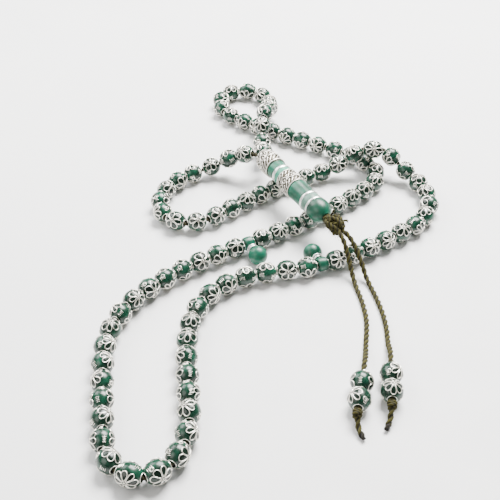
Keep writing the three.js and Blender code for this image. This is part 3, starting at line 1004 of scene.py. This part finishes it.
CAP_OUTLINE = [
    (0, 2.75), (0.4, 3.3), (1.2, 4.0), (2.4, 4.5), (3.8, 4.75), (5.6, 4.8), (7.6, 4.75),
    (9.4, 4.5), (10.9, 4.3),
]
SLEEVE_OUTLINE = [
    (0, 4.3), (0.6, 4.5), (1.2, 4.68), (4.4, 4.74), (7.6, 4.68), (8.2, 4.5), (8.8, 4.3),
]
DOME_REACH = 5.75
DOME_RADIUS = 4.68
DOME_OUTLINE = [(0, 4.5), (0.5, 4.6), (1.2, 4.66)] + [
    (1.8 + DOME_REACH * math.sin(t), DOME_RADIUS * math.cos(t)) for t in np.linspace(0.06, 1.18, 16)
]

# Each piece's name, CAD node, material, slot, outline, the settings of its body, and its relief
LEADER_PIECES = [
    ("leader_filigree_cap", "imame_cap", FILIGREE, "silver", CAP_OUTLINE,
     {"inset": 0.34, "tone": 0.2}, cap_relief),
    ("leader_upper_green_band", "imame_upper_band", JADE, "jade",
     [(0, 4.1), (1.7, 4.02), (3.4, 4.1)], {"corner": 0.15}, None),
    ("leader_wide_silver_ring", "imame_wide_ring", PLAIN_SILVER, "silver",
     [(0, 4.15), (0.35, 4.34), (1.05, 4.34), (1.4, 4.15)], {"corner": 0.2}, None),
    ("leader_pale_green_band", "imame_pale_band", PALE_JADE, "pale_jade",
     [(0, 4.1), (1, 4.06), (2, 4.1)], {"corner": 0.12}, None),
    ("leader_filigree_sleeve", "imame_sleeve", FILIGREE, "silver", SLEEVE_OUTLINE,
     {"inset": 0.32, "tone": 0.2}, sleeve_relief),
    ("leader_green_barrel", "imame_barrel", JADE, "jade",
     [(0, 4.3), (0.5, 4.32), (4.0, 4.18), (7.4, 4.2), (7.9, 4.2)], {"corner": 0.2}, None),
    ("leader_upper_thin_ring", "imame_upper_ring", PLAIN_SILVER, "silver",
     [(0, 4.25), (0.3, 4.42), (0.7, 4.42), (1.0, 4.25)], {"corner": 0.18}, None),
    ("leader_grey_green_band", "imame_lower_band", GREY_JADE, "grey_jade",
     [(0, 4.15), (1.4, 4.2), (2.8, 4.15)], {"corner": 0.12}, None),
    ("leader_lower_thin_ring", "imame_lower_ring", PLAIN_SILVER, "silver",
     [(0, 4.32), (0.25, 4.5), (0.65, 4.5), (0.9, 4.32)], {"corner": 0.18}, None),
    ("leader_rounded_end", "imame_dome", JADE, "jade", DOME_OUTLINE,
     {"corner": 0.3, "bore": 1.7}, None),
]
start = 0.0
for name, node, material, slot, outline, settings, relief in LEADER_PIECES:
    turned = Turned(outline, start)
    turned.body(**settings)
    if relief is not None:
        relief(turned)
    place(name, turned.form.mesh(name, [material]), LEADER_MATRIX, body_of[node], [node])
    start += outline[-1][0] + GAP


# ---- knots and tassel

KNOT_STEP = 0.3
KNOT_TWIST_PITCH = 3.4
KNOT_AFTER_BEADS = 0.1

# Turns on top of the gathering knot and cord ends that stick out of it: (along, aside, up)
TOP_TURNS = (
    [(2.4, 1.2, 1.6), (4.0, 2.3, 2.2), (6.2, 2.2, 2.5), (8.4, 1.9, 1.9), (9.6, 1.2, 0.6)],
    [(2.6, -0.8, 1.9), (4.2, -0.9, 2.9), (6.4, 0.2, 3.1), (8.2, 0.6, 2.5), (9.5, 0.7, 0.9)],
    [(2.5, -1.5, 0.6), (4.4, -2.6, 1.2), (6.5, -2.5, 1.6), (8.3, -1.9, 1.3), (9.6, -0.9, 0.3)],
)
CUT_ENDS = (
    [(1.2, 0.4, 0.9), (1.8, 1.3, 2.6), (2.2, 1.5, 3.7), (2.6, 1.2, 4.5)],
    [(4.6, -0.6, 1.2), (5.2, -2.0, 3.0), (6.0, -3.3, 3.6)],
    [(6.8, 0.9, 1.3), (7.6, 2.6, 2.6), (8.9, 3.8, 2.7)],
)


def wound_knot(form, at, way, length, radius, cord_radius, windings):
    """A knot: cord wound in uneven turns round a core, with one strand drawn over them."""
    way = unit(way)
    first = unit(np.cross(way, (0, 0, 1.0)))
    second = np.cross(way, first)
    t = np.linspace(0, 1, 60)
    turn = 2 * math.pi * windings * t
    ring = radius - cord_radius
    along = cord_radius + (length - 2 * cord_radius) * (t + 0.05 * np.sin(turn * 1.7))
    wobble = ring * (1 + 0.08 * np.sin(2.3 * turn + 0.6))
    line = at + along[:, None] * way + wobble[:, None] * fan(turn, first, second)
    dense, marks = resample(line[::3], KNOT_STEP)
    twisted(form, dense, marks, cord_radius, KNOT_TWIST_PITCH, 9)
    over = [
        at + way * cord_radius * 0.4 + first * ring * 0.3,
        at + way * length * 0.25 + second * (ring + 0.5 * cord_radius),
        at + way * length * 0.6 + second * (ring + 0.7 * cord_radius) + first * 0.3,
        at + way * (length - 0.3 * cord_radius) + second * ring * 0.2 + first * 0.2,
    ]
    dense, marks = resample(over, KNOT_STEP)
    twisted(form, dense, marks, cord_radius * 0.9, KNOT_TWIST_PITCH, 9)
    core = [at + way * distance for distance in np.linspace(0.15, length - 0.15, 8)]
    dense, marks = resample(core, KNOT_STEP)
    twisted(form, dense, marks, ring + 0.1, 6.0, 10)
    return np.array([at + way * d for d in np.linspace(0.3, length, 12)])


def on_knot(spots):
    return [on_leader(KNOT_START + along, aside, up) for along, aside, up in spots]


gather = Form()
neck_line = wound_knot(gather, on_leader(KNOT_START - 0.4), LEADER_WAY, 3.4, 2.1, 0.72, 2.4)
mass_line = wound_knot(gather, on_leader(KNOT_START + 2.3), LEADER_WAY, 7.2, 2.95, 0.95, 3.4)
fibres(gather, neck_line, 60, 1.7, 1.8, draw)
fibres(gather, mass_line, 170, 2.5, 2.6, draw)
for top_turn in TOP_TURNS:
    dense, marks = resample(on_knot(top_turn), KNOT_STEP)
    twisted(gather, dense, marks, 0.85, 3.6, 10)
for cut_end in CUT_ENDS:
    dense, marks = resample(on_knot(cut_end), 0.25)
    twisted(gather, dense, marks, 0.45, 2.6, 9, taper=np.linspace(1, 0.85, len(marks)))
    fibres(gather, dense[-5:], 18, 0.3, 1.2, draw)
place("gathering_knot_wound", gather.mesh("gathering_knot_wound", [CORD]), frame_shift, "imame",
      ["gathering_knot"])

for number in (1, 2):
    body = f"tassel_{number}"
    route = TASSEL_ROUTES[number - 1]
    way = unit(TASSEL_WAYS[number - 1])
    first_point, start_point = np.array(route[0], float), np.array(route[-1], float)
    bead_ends = [start_point + way * (STRAIGHT_BEFORE_BEADS + k * BEAD_PITCH) for k in range(3)]

    # The cord runs from inside the knot, along its route and through both beads
    inner = on_leader(KNOT_START + KNOT_LENGTH - 0.9, 0.35 * (-1 if number == 1 else 1))
    full = [inner, *route, *bead_ends[:2], bead_ends[2] + way * GAP]
    line, along = resample(full, 0.35)
    form = Form()
    twisted(form, line, along, TASSEL_CORD_RADIUS, TWIST_PITCH, 14)
    fuzz = random.Random(7 + number)
    fibres(form, line[: len(line) // 4], 36, TASSEL_CORD_RADIUS, 1.1, fuzz)
    fibres(form, line, 60, TASSEL_CORD_RADIUS, 0.55, fuzz)
    name = f"tassel_twisted_cord_{number}"
    cord = place(name, form.mesh(name, [CORD]), frame_shift, body, [f"tassel_cord_{number}"])

    beads = [
        place_bead(f"tassel_{number}_patterned_{which}_bead", *bead_ends[index:index + 2],
                   f"tassel_{number}_{which}_bead")
        for index, which in enumerate(("upper", "lower"))
    ]

    # The end knot, and a short tail with a dark tip
    knot_at = bead_ends[2] + way * KNOT_AFTER_BEADS
    knot = Form()
    wound_knot(knot, knot_at, way, 3.7, 1.72, 0.62, 2.2)
    line_tail, along_tail = resample([knot_at + way * 3.2, *TAILS[number - 1]], 0.3)
    taper = np.interp(along_tail, [0, 0.85 * along_tail[-1], along_tail[-1]], [1.0, 1.0, 0.8])
    for part, radius, slot in (
        (along_tail <= 0.78 * along_tail[-1], TASSEL_CORD_RADIUS, 0),
        (along_tail >= 0.74 * along_tail[-1], TASSEL_CORD_RADIUS * 1.02, 1),
    ):
        twisted(knot, line_tail[part], along_tail[part], radius, TWIST_PITCH, 12, slot,
                taper=taper[part])
    fibres(knot, line_tail, 14, TASSEL_CORD_RADIUS, 0.7, fuzz)
    end = place(f"tassel_{number}_knot_and_tail", knot.mesh(f"knot_and_tail_{number}",
                [CORD, CORD_TIP]), frame_shift, body, [f"end_knot_{number}"])


# ---- floor and light

def pale_floor():
    n = Nodes("pale_floor")
    n.color(n.ramp(n.noise(6, 3), (0.3, (0.80, 0.806, 0.815)), (0.7, (0.84, 0.846, 0.855))))
    n.roughness(n.between(n.noise(40, 4), 0.55, 0.7))
    return n.material


FLOOR_HALF = 1.6
floor_mesh = bpy.data.meshes.new("floor")
floor_mesh.from_pydata(
    [(-FLOOR_HALF, -FLOOR_HALF, 0), (FLOOR_HALF, -FLOOR_HALF, 0), (FLOOR_HALF, FLOOR_HALF, 0),
     (-FLOOR_HALF, FLOOR_HALF, 0)], [], [(0, 1, 2, 3)])
floor_mesh.materials.append(pale_floor())
floor = place("floor", floor_mesh)


def softbox(name, at, size, power, color=(1, 1, 1)):
    data = bpy.data.lights.new(name, "AREA")
    data.shape = "RECTANGLE"
    data.size, data.size_y = size
    data.energy = power
    data.color = color
    light = bpy.data.objects.new(name, data)
    light.location = at
    light.rotation_mode = "QUATERNION"
    light.rotation_quaternion = (Vector(at) - Vector((0, 0, 0.01))).to_track_quat("Z", "Y")
    bpy.context.scene.collection.objects.link(light)


softbox("key", (0.20, 0.42, 0.70), (0.55, 0.45), 40.0, (1.0, 0.985, 0.96))
softbox("fill", (-0.50, -0.35, 0.45), (0.5, 0.5), 3.0, (1.0, 0.975, 0.93))
softbox("rim", (-0.45, 0.35, 0.45), (0.4, 0.4), 5.0)
world = bpy.data.worlds.new("studio")
world.use_nodes = True
world.node_tree.nodes["Background"].inputs["Color"].default_value = (1.0, 0.98, 0.945, 1)
world.node_tree.nodes["Background"].inputs["Strength"].default_value = 0.24
bpy.context.scene.world = world
